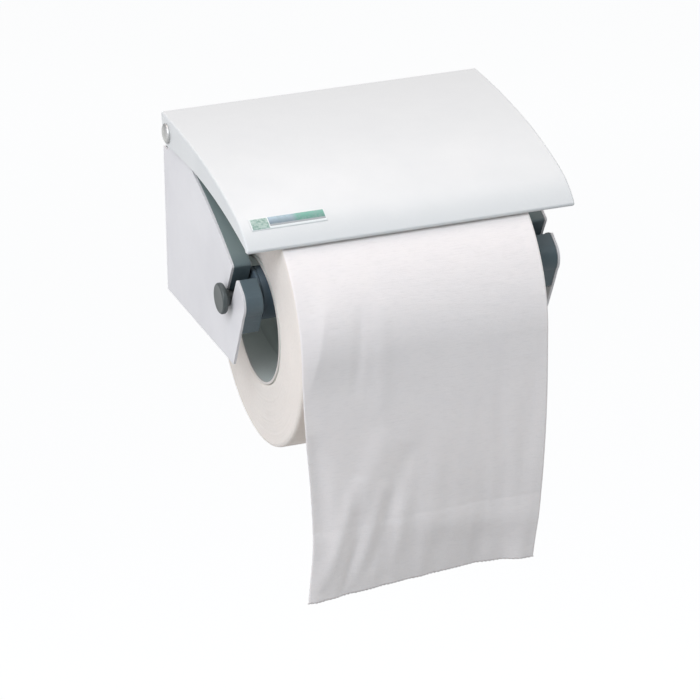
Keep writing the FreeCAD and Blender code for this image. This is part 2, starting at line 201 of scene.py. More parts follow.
# Powder coat: smudges, specks of dust, and orange peel
PAINT_SMUDGE = (24 * MM, 4.0)
PAINT_SPECK = (0.9 * MM, 2.0)
PAINT_SPECK_SPAN = (0.72, 0.80)
PAINT_SPECK_SHARE = 0.25
PAINT_SPECK_TONE_SHARE = 0.75
PAINT_ROUGHNESS = (0.36, 0.50)
PAINT_COAT, PAINT_COAT_ROUGHNESS = 0.15, 0.3
PAINT_PEEL, PAINT_PEEL_BUMP = (1.6 * MM, 2.0), (0.05 * MM, 0.5)
PAINT_FINE_PEEL, PAINT_FINE_PEEL_BUMP = (0.35 * MM, 2.0), (0.012 * MM, 0.5)
# The bracket and the cover have one white powder coat. The bracket's colours are a lit copy,
# lighter, as painted light, and the cover's a shaded copy, darker and greener, as painted shade
BRACKET_LIT_WHITE, BRACKET_LIT_SMUDGE = (0.735, 0.729, 0.738), (0.695, 0.689, 0.700)
COVER_SHADED_WHITE, COVER_SHADED_SMUDGE = (0.692, 0.709, 0.702), (0.664, 0.682, 0.678)

# Moulded plastic: scuffs, spark texture and sink marks. Painted light: the liners' colour turns
# lighter from the first height below upwards, fully so at the second.
PLASTIC_CLOUD = (9 * MM, 4.0)
PLASTIC_WEAR_SPAN = (0.45, 0.65)
PLASTIC_WEAR_SHARE = 0.4
PLASTIC_SMOOTHER, PLASTIC_ROUGHER = 0.06, 0.08
SCRATCH = (0.8 * MM, 2.0)
SCRATCH_SPAN = (0.6, 0.75)
SCRATCH_STRETCH = (0.25, 1.0, 1.6)
SPARK, SPARK_BUMP = (0.22 * MM, 2.0), (0.02 * MM, 0.6)
SINK, SINK_BUMP = (5 * MM, 1.0), (0.08 * MM, 0.3)
PAINTED_LIGHT_FROM = 4.0 * MM
PAINTED_LIGHT_FULL = 9.0 * MM
LINER_SLATE, LINER_SCUFF = (0.090, 0.126, 0.143), (0.22, 0.27, 0.29)
# Painted light: the first colour on the next line is the lighter colour painted on the liners'
# upper part
LINER_PAINTED_LIGHT, LINER_ROUGHNESS = (0.185, 0.235, 0.230), 0.42
SPINDLE_SLATE, SPINDLE_SCUFF = (0.080, 0.112, 0.138), (0.17, 0.21, 0.24)
SPINDLE_ROUGHNESS = 0.45
KNOB_GREY, KNOB_SCUFF, KNOB_ROUGHNESS = (0.075, 0.088, 0.086), (0.20, 0.23, 0.23), 0.40

# Metal: turning marks and a faint cloud
STEEL_MARK, STEEL_MARK_BUMP = (0.5 * MM, 3.0), (0.01 * MM, 0.6)
STEEL_CLOUD = (3 * MM, 3.0)
STEEL_SHADE_SHARE = 0.7
STEEL_SMOOTHER, STEEL_ROUGHER = 0.07, 0.1
RIVET_ZINC, RIVET_ROUGHNESS = (0.76, 0.76, 0.74), 0.50
ROD_BLACK, ROD_ROUGHNESS, ROD_STRETCH = (0.16, 0.17, 0.17), 0.42, (0.05, 1, 1)

# Nylon and foam
NYLON_PALE, NYLON_SHADE = (0.72, 0.71, 0.66), (0.62, 0.61, 0.57)
NYLON_CLOUD = (2 * MM, 3.0)
NYLON_GRAIN, NYLON_GRAIN_BUMP = (0.3 * MM, 3.0), (0.01 * MM, 0.5)
NYLON_ROUGHNESS = 0.42
NYLON_GLOW_SHARE, NYLON_GLOW_DEPTH = 0.1, 0.5 * MM
FOAM_PALE, FOAM_DARK = (0.32, 0.32, 0.31), (0.22, 0.22, 0.22)
FOAM_CELL, FOAM_BUMP, FOAM_ROUGHNESS = 0.5 * MM, (0.1 * MM, 0.6), 0.9

# Tissue: crepe across the web and loose fibres; the reach is how far each colour glows through
TISSUE_CLOUD = (14 * MM, 4.0)
TISSUE_FIBRE, TISSUE_FIBRE_BUMP = (0.5 * MM, 4.0, 0.7), (0.05 * MM, 0.7)
TISSUE_CREPE, TISSUE_CREPE_BUMP = (1.1 * MM, 3.0, 0.6), (0.12 * MM, 0.6)
# Painted shade: the crepe's valleys are darkened in the colour
TISSUE_PAINTED_SHADE_SPAN = (0.3, 0.5)
TISSUE_PAINTED_SHADE_SHARE = 0.35
TISSUE_PAINTED_SHADE_COLOUR_SHARE = 0.9
TISSUE_ROUGHNESS, TISSUE_SPECULAR = 0.95, 0.2
TISSUE_SHEEN, TISSUE_SHEEN_ROUGHNESS = 0.25, 0.6
TISSUE_GLOW_SHARE, TISSUE_GLOW_DEPTH = 0.2, 1.2 * MM
TISSUE_GLOW_REACH_SHARES = (1.0, 0.9, 0.85)
# The roll and the hanging sheet are one tissue. The roll's colours are a shaded copy, darker and
# warmer, as painted shade, and the sheet's colours are a lit copy, lighter, as painted light
ROLL_TISSUE_SHADED_COPY, ROLL_TISSUE_SHADED_COPY_CLOUD = (0.850, 0.785, 0.715), (0.820, 0.757, 0.690)
ROLL_CREPE_STRETCH = (0.3, 1, 1)
SHEET_TISSUE_LIT_COPY, SHEET_TISSUE_LIT_COPY_CLOUD = (0.930, 0.874, 0.845), (0.900, 0.848, 0.825)
SHEET_CREPE_STRETCH = (0.3, 1.6, 1)

# Cardboard core: a seam line at each turn of the spiral, and a warmer cut at the ends
SEAM_PITCH = 46 * MM
SEAM_WIDTH_SHARE = 0.05
SEAM_TONE_SHARE = 0.5
SEAM_BUMP = (0.15 * MM, 0.8)
BOARD_FIBRE, BOARD_FIBRE_BUMP = (0.7 * MM, 4.0, 0.7), (0.06 * MM, 0.6)
BOARD_ROUGHNESS = 0.9
CORE_COLOUR, CORE_SHADE = (0.76, 0.81, 0.77), (0.68, 0.73, 0.69)
CORE_SEAM, CORE_CUT, CORE_CUT_DEPTH = (0.52, 0.56, 0.53), (0.70, 0.66, 0.62), 0.3 * MM

# Blank label: a field is ((from, to) across, (from, to) up), as shares of the label. The bar
# turns green across LABEL_TURN_SHARES and gets lighter up LABEL_LIGHTER_SHARES.
LABEL_PANEL_SHARES = ((0.015, 0.24), (0.06, 0.95))
LABEL_BAR_SHARES = ((0.25, 0.99), (0.20, 0.97))
LABEL_RULE_SHARES = ((0.25, 0.99), (0.20, 0.36))
LABEL_TURN_SHARES = (0.56, 0.64)
LABEL_LIGHTER_SHARES = (0.45, 0.85)
LABEL_INK = (0.6 * MM, 2.0)
LABEL_BLOT = (1.4 * MM, 3.0)
LABEL_BLOT_SPAN = (0.4, 0.6)
LABEL_BLOT_SHARE = 0.4
LABEL_WAVE, LABEL_WAVE_BUMP = (3 * MM, 1.0), (0.02 * MM, 0.4)
LABEL_ROUGHNESS, LABEL_COAT = 0.28, 0.3
LABEL_PAPER, LABEL_PAPER_SHADE = (0.77, 0.79, 0.79), (0.70, 0.75, 0.74)
LABEL_PANEL_DARK, LABEL_PANEL_PALE = (0.17, 0.30, 0.25), (0.38, 0.50, 0.45)
LABEL_LOW_BLUE, LABEL_LOW_GREEN = (0.14, 0.20, 0.25), (0.07, 0.24, 0.19)
LABEL_HIGH_BLUE, LABEL_HIGH_GREEN = (0.34, 0.46, 0.53), (0.12, 0.38, 0.29)
LABEL_BLOT_COLOUR, LABEL_RULE_COLOUR = (0.20, 0.30, 0.30), (0.30, 0.33, 0.34)

FLOOR_CLOUD = (400 * MM, 2.0)

# Places of the colour sockets on a Mix node
MIX_FIRST, MIX_SECOND, MIX_RESULT = 6, 7, 2


def smooth_table(shares, place):
    """A smooth curve through evenly spaced values, at a place from 0 to 1."""
    last = len(shares) - 1
    position = min(max(place, 0.0), 1.0) * last
    index = min(int(position), last - 1)
    t = position - index
    before = shares[max(index - 1, 0)]
    here = shares[index]
    after = shares[index + 1]
    beyond = shares[min(index + 2, last)]
    rise_here = (after - before) / 2
    rise_after = (beyond - here) / 2
    step = after - here
    return here + t * rise_here + t * t * (3 * step - 2 * rise_here - rise_after) + t ** 3 * (
        rise_here + rise_after - 2 * step
    )


# Meshes and objects
def new_object(name, data):
    made = bpy.data.objects.new(name, data)
    bpy.context.scene.collection.objects.link(made)
    return made


def mesh_from(name, points, edges, faces):
    mesh = bpy.data.meshes.new(name)
    mesh.from_pydata([tuple(p) for p in points], edges, faces)
    mesh.update()
    return mesh


def baked(obj):
    """Turns the modified object into a plain mesh and takes its modifiers off."""
    bpy.context.view_layer.update()
    graph = bpy.context.evaluated_depsgraph_get()
    mesh = bpy.data.meshes.new_from_object(obj.evaluated_get(graph))
    mesh.name = obj.name
    obj.modifiers.clear()
    obj.data = mesh
    return obj


def smooth_faces(obj):
    """Smooth shading in which the large faces keep their own direction."""
    obj.data.shade_smooth()
    weighted = obj.modifiers.new("even shading", "WEIGHTED_NORMAL")
    weighted.keep_sharp = True
    weighted.weight = EVEN_SHADING_WEIGHT
    return baked(obj)


def cad_copy(cad_node, name):
    """A merged copy of a CAD node's mesh, with its flat faces joined up."""
    mesh = frame["nodes"][cad_node].data.copy()
    mesh.name = name
    mesh.materials.clear()
    work = bmesh.new()
    work.from_mesh(mesh)
    bmesh.ops.remove_doubles(work, verts=work.verts, dist=MERGE_DISTANCE)
    bmesh.ops.dissolve_limit(
        work, angle_limit=FLAT_ANGLE, verts=work.verts, edges=work.edges, delimit={"NORMAL"}
    )
    work.to_mesh(mesh)
    work.free()
    return new_object(name, mesh)


def soften(obj, width):
    """Rounds the sharp edges."""
    rounds = obj.modifiers.new("edge round", "BEVEL")
    rounds.limit_method = "ANGLE"
    rounds.angle_limit = SHARP_ANGLE
    rounds.width = width
    rounds.segments = ROUND_STEPS
    rounds.use_clamp_overlap = True
    return baked(obj)


def finish_piece(obj, body, slot, *cad_nodes):
    """Gives a piece its body and its slot's finish, and hides the CAD nodes it stands for."""
    obj.data.materials.clear()
    obj.data.materials.append(finishes[slot])
    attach(obj, body)
    if cad_nodes:
        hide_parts(*cad_nodes)
    return obj


def turned(name, profile, sides):
    """A turned mesh about X from (along, radius) points, closed at both ends."""
    points = []
    faces = []
    for along, radius in profile:
        for side in range(sides):
            angle = 2 * math.pi * side / sides
            points.append((along, radius * math.cos(angle), radius * math.sin(angle)))
    for ring in range(len(profile) - 1):
        for side in range(sides):
            after = (side + 1) % sides
            low = ring * sides
            faces.append((low + side, low + after, low + sides + after, low + sides + side))
    mesh = mesh_from(name, points, [], faces)
    work = bmesh.new()
    work.from_mesh(mesh)
    bmesh.ops.remove_doubles(work, verts=work.verts, dist=TURNED_MERGE)
    bmesh.ops.recalc_face_normals(work, faces=work.faces)
    work.to_mesh(mesh)
    work.free()
    return mesh


# Nodes that shapes and materials share
def node(tree, kind, **settings):
    made = tree.nodes.new(kind)
    for setting, value in settings.items():
        setattr(made, setting, value)
    return made


def join(tree, source, target):
    tree.links.new(source, target)


def calculate(tree, operation, *values):
    """The result of an operation on sockets or plain numbers."""
    made = node(tree, "ShaderNodeMath", operation=operation)
    for index, value in enumerate(values):
        if isinstance(value, (int, float)):
            made.inputs[index].default_value = value
        else:
            join(tree, value, made.inputs[index])
    return made.outputs[0]


def on_axis(tree, axis, value):
    """A vector with a value on one axis and nothing on the others."""
    made = node(tree, "ShaderNodeCombineXYZ")
    join(tree, value, made.inputs[axis])
    return made.outputs[0]


def split(tree, vector):
    """The X, Y and Z of a vector."""
    made = node(tree, "ShaderNodeSeparateXYZ")
    join(tree, vector, made.inputs[0])
    return made.outputs


# Geometry node trees
def new_tree(name, sizes):
    """A modifier tree and its inputs: a geometry, (label, socket kind, value) sizes, a finish."""
    tree = bpy.data.node_groups.new(name, "GeometryNodeTree")
    tree.is_modifier = True
    tree.interface.new_socket("Geometry", in_out="INPUT", socket_type="NodeSocketGeometry")
    for label, kind, value in sizes:
        socket = tree.interface.new_socket(label, in_out="INPUT", socket_type=kind)
        socket.default_value = value
    tree.interface.new_socket("Finish", in_out="INPUT", socket_type="NodeSocketMaterial")
    tree.interface.new_socket("Geometry", in_out="OUTPUT", socket_type="NodeSocketGeometry")
    return tree, node(tree, "NodeGroupInput").outputs


def end_tree(tree, given, geometry):
    """Gives the geometry its finish and hands it out."""
    finish = node(tree, "GeometryNodeSetMaterial")
    join(tree, geometry, finish.inputs["Geometry"])
    join(tree, given["Finish"], finish.inputs["Material"])
    join(tree, finish.outputs[0], node(tree, "NodeGroupOutput").inputs[0])
    return tree


def run_tree(obj, tree, **sizes):
    """Runs a tree on an object with its inputs set by their labels, and keeps the plain mesh."""
    modifier = obj.modifiers.new(tree.name, "NODES")
    modifier.node_group = tree
    for item in tree.interface.items_tree:
        label = item.name.replace(" ", "_")
        if item.in_out == "INPUT" and label in sizes:
            modifier[item.identifier] = sizes[label]
    return baked(obj)


def pair_tree():
    """A turned piece where it is drawn, and a copy of it half a turn round, back to back."""
    tree, given = new_tree("back_to_back_pair", [("Axis place", "NodeSocketVector", (0, 0, 0))])
    spots = node(tree, "GeometryNodeMeshLine", mode="END_POINTS")
    spots.inputs["Count"].default_value = 2
    spots.inputs["Offset"].default_value = (0, 0, 0)
    index = node(tree, "GeometryNodeInputIndex").outputs[0]
    turn = calculate(tree, "MULTIPLY_ADD", index, -math.pi, math.pi)
    copies = node(tree, "GeometryNodeInstanceOnPoints")
    join(tree, spots.outputs["Mesh"], copies.inputs["Points"])
    join(tree, given["Geometry"], copies.inputs["Instance"])
    join(tree, on_axis(tree, "Z", turn), copies.inputs["Rotation"])
    solid = node(tree, "GeometryNodeRealizeInstances")
    join(tree, copies.outputs[0], solid.inputs[0])
    moved = node(tree, "GeometryNodeTransform")
    join(tree, solid.outputs[0], moved.inputs["Geometry"])
    join(tree, given["Axis place"], moved.inputs["Translation"])
    return end_tree(tree, given, moved.outputs[0])


def wound_roll_tree():
    """A ring swept round the roll's axis, whose end faces show the edges of the wound layers."""
    tree, given = new_tree("wound_roll", [
        ("Core radius", "NodeSocketFloat", 0.0),
        ("Roll radius", "NodeSocketFloat", 0.0),
        ("Width", "NodeSocketFloat", 0.0),
        ("Rim round", "NodeSocketFloat", ROLL_RIM_ROUND),
        ("Layer step", "NodeSocketFloat", ROLL_LAYER_STEP),
        ("Layer height", "NodeSocketFloat", ROLL_LAYER_HEIGHT),
        ("Sides", "NodeSocketInt", ROLL_SIDES),
        ("Seed", "NodeSocketInt", ROLL_LAYER_SEED),
        ("Axis place", "NodeSocketVector", (0, 0, 0)),
    ])
    core, outer, width, rim = (
        given[label] for label in ("Core radius", "Roll radius", "Width", "Rim round")
    )
    section = node(tree, "GeometryNodeCurvePrimitiveQuadrilateral")
    join(tree, calculate(tree, "SUBTRACT", outer, core), section.inputs["Width"])
    join(tree, width, section.inputs["Height"])
    rounded = node(tree, "GeometryNodeFilletCurve", mode="POLY")
    rounded.inputs["Count"].default_value = ROLL_RIM_STEPS
    join(tree, section.outputs[0], rounded.inputs["Curve"])
    join(tree, rim, rounded.inputs["Radius"])
    fine = node(tree, "GeometryNodeResampleCurve", mode="LENGTH")
    join(tree, rounded.outputs[0], fine.inputs["Curve"])
    join(tree, given["Layer step"], fine.inputs["Length"])

    along = split(tree, node(tree, "GeometryNodeInputPosition").outputs[0])["Y"]
    end_plane = calculate(tree, "SUBTRACT", calculate(tree, "MULTIPLY", width, 0.5), rim)
    on_end = calculate(tree, "GREATER_THAN", calculate(tree, "ABSOLUTE", along), end_plane)
    chance = node(tree, "FunctionNodeRandomValue", data_type="FLOAT")
    join(tree, node(tree, "GeometryNodeInputIndex").outputs[0], chance.inputs["ID"])
    join(tree, given["Seed"], chance.inputs["Seed"])
    sunk = calculate(tree, "MULTIPLY", chance.outputs["Value"], on_end)
    sunk = calculate(tree, "MULTIPLY", sunk, given["Layer height"])
    inward = calculate(tree, "MULTIPLY", calculate(tree, "SIGN", along), -1.0)
    shift = on_axis(tree, "Y", calculate(tree, "MULTIPLY", sunk, inward))
    layers = node(tree, "GeometryNodeSetPosition")
    join(tree, fine.outputs[0], layers.inputs["Geometry"])
    join(tree, shift, layers.inputs["Offset"])

    middle = calculate(tree, "MULTIPLY", calculate(tree, "ADD", outer, core), 0.5)
    rail = node(tree, "GeometryNodeCurvePrimitiveCircle", mode="RADIUS")
    join(tree, given["Sides"], rail.inputs["Resolution"])
    join(tree, middle, rail.inputs["Radius"])
    sweep = node(tree, "GeometryNodeCurveToMesh")
    join(tree, rail.outputs[0], sweep.inputs["Curve"])
    join(tree, layers.outputs[0], sweep.inputs["Profile Curve"])
    moved = node(tree, "GeometryNodeTransform")
    moved.inputs["Rotation"].default_value = (0, math.pi / 2, 0)
    join(tree, sweep.outputs[0], moved.inputs["Geometry"])
    join(tree, given["Axis place"], moved.inputs["Translation"])
    return end_tree(tree, given, moved.outputs[0])


def torn_edge_tree():
    """Small paper teeth along a line, as a torn perforation leaves them."""
    tree, given = new_tree("torn_edge", [
        ("Teeth", "NodeSocketInt", TOOTH_COUNT),
        ("Tooth width", "NodeSocketFloat", TOOTH_WIDTH),
        ("Tooth length", "NodeSocketFloat", TOOTH_LENGTH),
        ("Thickness", "NodeSocketFloat", SHEET_THICKNESS * TOOTH_THICKNESS_SHARE),
        ("Seed", "NodeSocketInt", TOOTH_SEED),
    ])
    line = node(tree, "GeometryNodeMeshToCurve")
    join(tree, given["Geometry"], line.inputs["Mesh"])
    spots = node(tree, "GeometryNodeCurveToPoints", mode="COUNT")
    join(tree, line.outputs[0], spots.inputs["Curve"])
    join(tree, given["Teeth"], spots.inputs["Count"])
    size = node(tree, "ShaderNodeCombineXYZ")
    for label, axis in (("Tooth length", "X"), ("Thickness", "Y"), ("Tooth width", "Z")):
        join(tree, given[label], size.inputs[axis])
    tooth = node(tree, "GeometryNodeMeshCube")
    join(tree, size.outputs[0], tooth.inputs["Size"])
    along = node(tree, "FunctionNodeAlignRotationToVector", axis="Z")
    join(tree, spots.outputs["Tangent"], along.inputs["Vector"])
    upright = node(tree, "FunctionNodeAlignRotationToVector", axis="X", pivot_axis="Z")
    upright.inputs["Vector"].default_value = (0, 0, 1)
    join(tree, along.outputs[0], upright.inputs["Rotation"])
    chance = node(tree, "FunctionNodeRandomValue", data_type="FLOAT_VECTOR")
    chance.inputs["Min"].default_value = TOOTH_SMALLEST_SHARES
    chance.inputs["Max"].default_value = TOOTH_LARGEST_SHARES
    join(tree, given["Seed"], chance.inputs["Seed"])
    copies = node(tree, "GeometryNodeInstanceOnPoints")
    join(tree, spots.outputs["Points"], copies.inputs["Points"])
    join(tree, tooth.outputs["Mesh"], copies.inputs["Instance"])
    join(tree, upright.outputs[0], copies.inputs["Rotation"])
    join(tree, chance.outputs["Value"], copies.inputs["Scale"])
    solid = node(tree, "GeometryNodeRealizeInstances")
    join(tree, copies.outputs[0], solid.inputs[0])
    return end_tree(tree, given, solid.outputs[0])


# Material parts
def start_material(name, **constants):
    """A material whose shader has these plain values; a label's spaces are written as _."""
    made = bpy.data.materials.new(name)
    made.use_nodes = True
    tree = made.node_tree
    shader = tree.nodes["Principled BSDF"]
    for label, value in constants.items():
        shader.inputs[label.replace("_", " ")].default_value = value
    return made, tree, shader


def point_from(tree, source, stretch):
    mapping = node(tree, "ShaderNodeMapping")
    mapping.inputs["Scale"].default_value = stretch
    join(tree, node(tree, "ShaderNodeTexCoord").outputs[source], mapping.inputs["Vector"])
    return mapping.outputs[0]


def object_point(tree, stretch=(1, 1, 1)):
    """Object coordinates, stretched for grain that runs one way."""
    return point_from(tree, "Object", stretch)


def sheet_point(tree, stretch=(1, 1, 1)):
    """The piece's own UV map, in metres on the flat sheet."""
    return point_from(tree, "UV", stretch)


def grain(tree, point, size, detail, roughness=GRAIN_ROUGHNESS):
    """Noise whose lumps are about size metres across."""
    made = node(tree, "ShaderNodeTexNoise")
    made.inputs["Scale"].default_value = 1 / size
    made.inputs["Detail"].default_value = detail
    made.inputs["Roughness"].default_value = roughness
    join(tree, point, made.inputs["Vector"])
    return made.outputs["Fac"]


def spread(tree, value, low, high, span=GRAIN_SPAN):
    """Goes from low to high while a value crosses the span."""
    made = node(tree, "ShaderNodeMapRange")
    made.inputs["From Min"].default_value = span[0]
    made.inputs["From Max"].default_value = span[1]
    made.inputs["To Min"].default_value = low
    made.inputs["To Max"].default_value = high
    join(tree, value, made.inputs["Value"])
    return made.outputs[0]


def tint(tree, share, first, second):
    """A colour between two, by a share from 0 to 1."""
    made = node(tree, "ShaderNodeMix", data_type="RGBA")
    for index, colour in ((MIX_FIRST, first), (MIX_SECOND, second)):
        if isinstance(colour, tuple):
            made.inputs[index].default_value = (*colour, 1)
        else:
            join(tree, colour, made.inputs[index])
    join(tree, share, made.inputs["Factor"])
    return made.outputs[MIX_RESULT]


def darker(colour, share):
    return tuple(share * part for part in colour)


def raise_surface(tree, shader, *layers):
    """Bump from (height, (depth, strength)) layers, one on another."""
    normal = None
    for height, (depth, strength) in layers:
        made = node(tree, "ShaderNodeBump")
        made.inputs["Distance"].default_value = depth
        made.inputs["Strength"].default_value = strength
        join(tree, height, made.inputs["Height"])
        if normal is not None:
            join(tree, normal, made.inputs["Normal"])
        normal = made.outputs[0]
    join(tree, normal, shader.inputs["Normal"])


# Finishes
def powder_coat(name, colour, smudge_colour):
    """Satin white powder coat: orange peel, faint smudges and a speck of dust here and there."""
    made, tree, shader = start_material(
        name, Coat_Weight=PAINT_COAT, Coat_Roughness=PAINT_COAT_ROUGHNESS
    )
    point = object_point(tree)
    smudge = grain(tree, point, *PAINT_SMUDGE)
    specks = spread(tree, grain(tree, point, *PAINT_SPECK), 0.0, 1.0, PAINT_SPECK_SPAN)
    specks = calculate(tree, "MULTIPLY", specks, PAINT_SPECK_SHARE)
    painted = tint(tree, spread(tree, smudge, 0.0, 1.0), colour, smudge_colour)
    dusty = tint(tree, specks, painted, darker(colour, PAINT_SPECK_TONE_SHARE))
    join(tree, dusty, shader.inputs["Base Color"])
    join(tree, spread(tree, smudge, *PAINT_ROUGHNESS), shader.inputs["Roughness"])
    raise_surface(
        tree, shader, (grain(tree, point, *PAINT_PEEL), PAINT_PEEL_BUMP),
        (grain(tree, point, *PAINT_FINE_PEEL), PAINT_FINE_PEEL_BUMP),
    )
    return made


def moulded_plastic(name, colour, scuff, roughness, painted_light=None):
    """Dark moulded plastic: spark texture, scuffs, and an upper part painted lighter as painted
    light where a colour for it is given.
    """
    made, tree, shader = start_material(name)
    point = object_point(tree)
    # Painted light: the colour turns lighter towards the top of the piece
    if painted_light:
        painted_light_share = spread(tree, split(tree, point)["Z"], 0.0, 1.0, (PAINTED_LIGHT_FROM, PAINTED_LIGHT_FULL))
        colour = tint(tree, painted_light_share, colour, painted_light)
    cloud = grain(tree, point, *PLASTIC_CLOUD)
    scratches = grain(tree, object_point(tree, SCRATCH_STRETCH), *SCRATCH)
    scratches = spread(tree, scratches, 0.0, 1.0, SCRATCH_SPAN)
    worn = spread(tree, cloud, 0.0, 1.0, PLASTIC_WEAR_SPAN)
    worn = calculate(tree, "MULTIPLY", scratches, worn)
    worn = calculate(tree, "MULTIPLY", worn, PLASTIC_WEAR_SHARE)
    join(tree, tint(tree, worn, colour, scuff), shader.inputs["Base Color"])
    uneven = spread(tree, cloud, roughness - PLASTIC_SMOOTHER, roughness + PLASTIC_ROUGHER)
    join(tree, uneven, shader.inputs["Roughness"])
    raise_surface(
        tree, shader, (grain(tree, point, *SPARK), SPARK_BUMP),
        (grain(tree, point, *SINK), SINK_BUMP),
    )
    return made


def plated_steel(name, colour, roughness, stretch=(1, 1, 1)):
    """Metal with fine turning marks."""
    made, tree, shader = start_material(name, Metallic=1.0)
    marks = grain(tree, object_point(tree, stretch), *STEEL_MARK)
    cloud = spread(tree, grain(tree, object_point(tree), *STEEL_CLOUD), 0.0, 1.0)
    clouded = tint(tree, cloud, colour, darker(colour, STEEL_SHADE_SHARE))
    join(tree, clouded, shader.inputs["Base Color"])
    uneven = spread(tree, marks, roughness - STEEL_SMOOTHER, roughness + STEEL_ROUGHER)
    join(tree, uneven, shader.inputs["Roughness"])
    raise_surface(tree, shader, (marks, STEEL_MARK_BUMP))
    return made


def nylon(name):
    """Natural nylon with a faint cloud and a little glow."""
    made, tree, shader = start_material(
        name, Roughness=NYLON_ROUGHNESS, Subsurface_Weight=NYLON_GLOW_SHARE,
        Subsurface_Scale=NYLON_GLOW_DEPTH,
    )
    point = object_point(tree)
    cloud = grain(tree, point, *NYLON_CLOUD)
    join(tree, tint(tree, cloud, NYLON_PALE, NYLON_SHADE), shader.inputs["Base Color"])
    raise_surface(tree, shader, (grain(tree, point, *NYLON_GRAIN), NYLON_GRAIN_BUMP))
    return made


def closed_foam(name):
    """Grey foam with small round cells."""
    made, tree, shader = start_material(name, Roughness=FOAM_ROUGHNESS)
    cells = node(tree, "ShaderNodeTexVoronoi")
    cells.inputs["Scale"].default_value = 1 / FOAM_CELL
    join(tree, object_point(tree), cells.inputs["Vector"])
    height = cells.outputs["Distance"]
    join(tree, tint(tree, height, FOAM_PALE, FOAM_DARK), shader.inputs["Base Color"])
    raise_surface(tree, shader, (height, FOAM_BUMP))
    return made


def tissue_paper(name, point_of, colour, shade, crepe_stretch):
    """Soft two-ply tissue: crepe across the web, loose fibres, a little show-through, and painted
    shade that darkens the crepe's valleys.
    """
    made, tree, shader = start_material(
        name, Roughness=TISSUE_ROUGHNESS, Specular_IOR_Level=TISSUE_SPECULAR,
        Sheen_Weight=TISSUE_SHEEN, Sheen_Roughness=TISSUE_SHEEN_ROUGHNESS,
        Subsurface_Weight=TISSUE_GLOW_SHARE, Subsurface_Radius=TISSUE_GLOW_REACH_SHARES,
        Subsurface_Scale=TISSUE_GLOW_DEPTH,
    )
    cloud = spread(tree, grain(tree, point_of(tree), *TISSUE_CLOUD), 0.0, 1.0)
    fibres = grain(tree, point_of(tree), *TISSUE_FIBRE)
    crepe = grain(tree, point_of(tree, crepe_stretch), *TISSUE_CREPE)
    body = tint(tree, cloud, colour, shade)
    # Painted shade in the crepe's valleys
    painted_valley_shade = spread(tree, crepe, TISSUE_PAINTED_SHADE_SHARE, 0.0, TISSUE_PAINTED_SHADE_SPAN)
    creped_with_painted_shade = tint(tree, painted_valley_shade, body, darker(shade, TISSUE_PAINTED_SHADE_COLOUR_SHARE))
    join(tree, creped_with_painted_shade, shader.inputs["Base Color"])
    raise_surface(tree, shader, (crepe, TISSUE_CREPE_BUMP), (fibres, TISSUE_FIBRE_BUMP))
    return made


def core_board(name):
    """Grey board wound in a spiral, with a seam line at each turn."""
    made, tree, shader = start_material(name, Roughness=BOARD_ROUGHNESS)
    low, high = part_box("cardboard_core")
    centre = node(tree, "ShaderNodeMapping")
    centre.inputs["Location"].default_value = -(low + high) / 2
    join(tree, node(tree, "ShaderNodeTexCoord").outputs["Object"], centre.inputs["Vector"])
    spot = split(tree, centre.outputs[0])
    angle = calculate(tree, "ARCTAN2", spot["Z"], spot["Y"])
    turns = calculate(tree, "DIVIDE", angle, 2 * math.pi)
    pitches = calculate(tree, "DIVIDE", spot["X"], SEAM_PITCH)
    seam = calculate(tree, "FRACT", calculate(tree, "ADD", turns, pitches))
    line = spread(tree, seam, 1.0, 0.0, (0.0, SEAM_WIDTH_SHARE))
    fibres = grain(tree, object_point(tree), *BOARD_FIBRE)
    board = tint(tree, fibres, CORE_COLOUR, CORE_SHADE)
    wound = tint(tree, calculate(tree, "MULTIPLY", line, SEAM_TONE_SHARE), board, CORE_SEAM)
    from_middle = calculate(tree, "ABSOLUTE", spot["X"])
    to_end = calculate(tree, "SUBTRACT", (high.x - low.x) / 2, from_middle)
    cut = calculate(tree, "LESS_THAN", to_end, CORE_CUT_DEPTH)
    join(tree, tint(tree, cut, wound, CORE_CUT), shader.inputs["Base Color"])
    raise_surface(tree, shader, (fibres, BOARD_FIBRE_BUMP), (line, SEAM_BUMP))
    return made


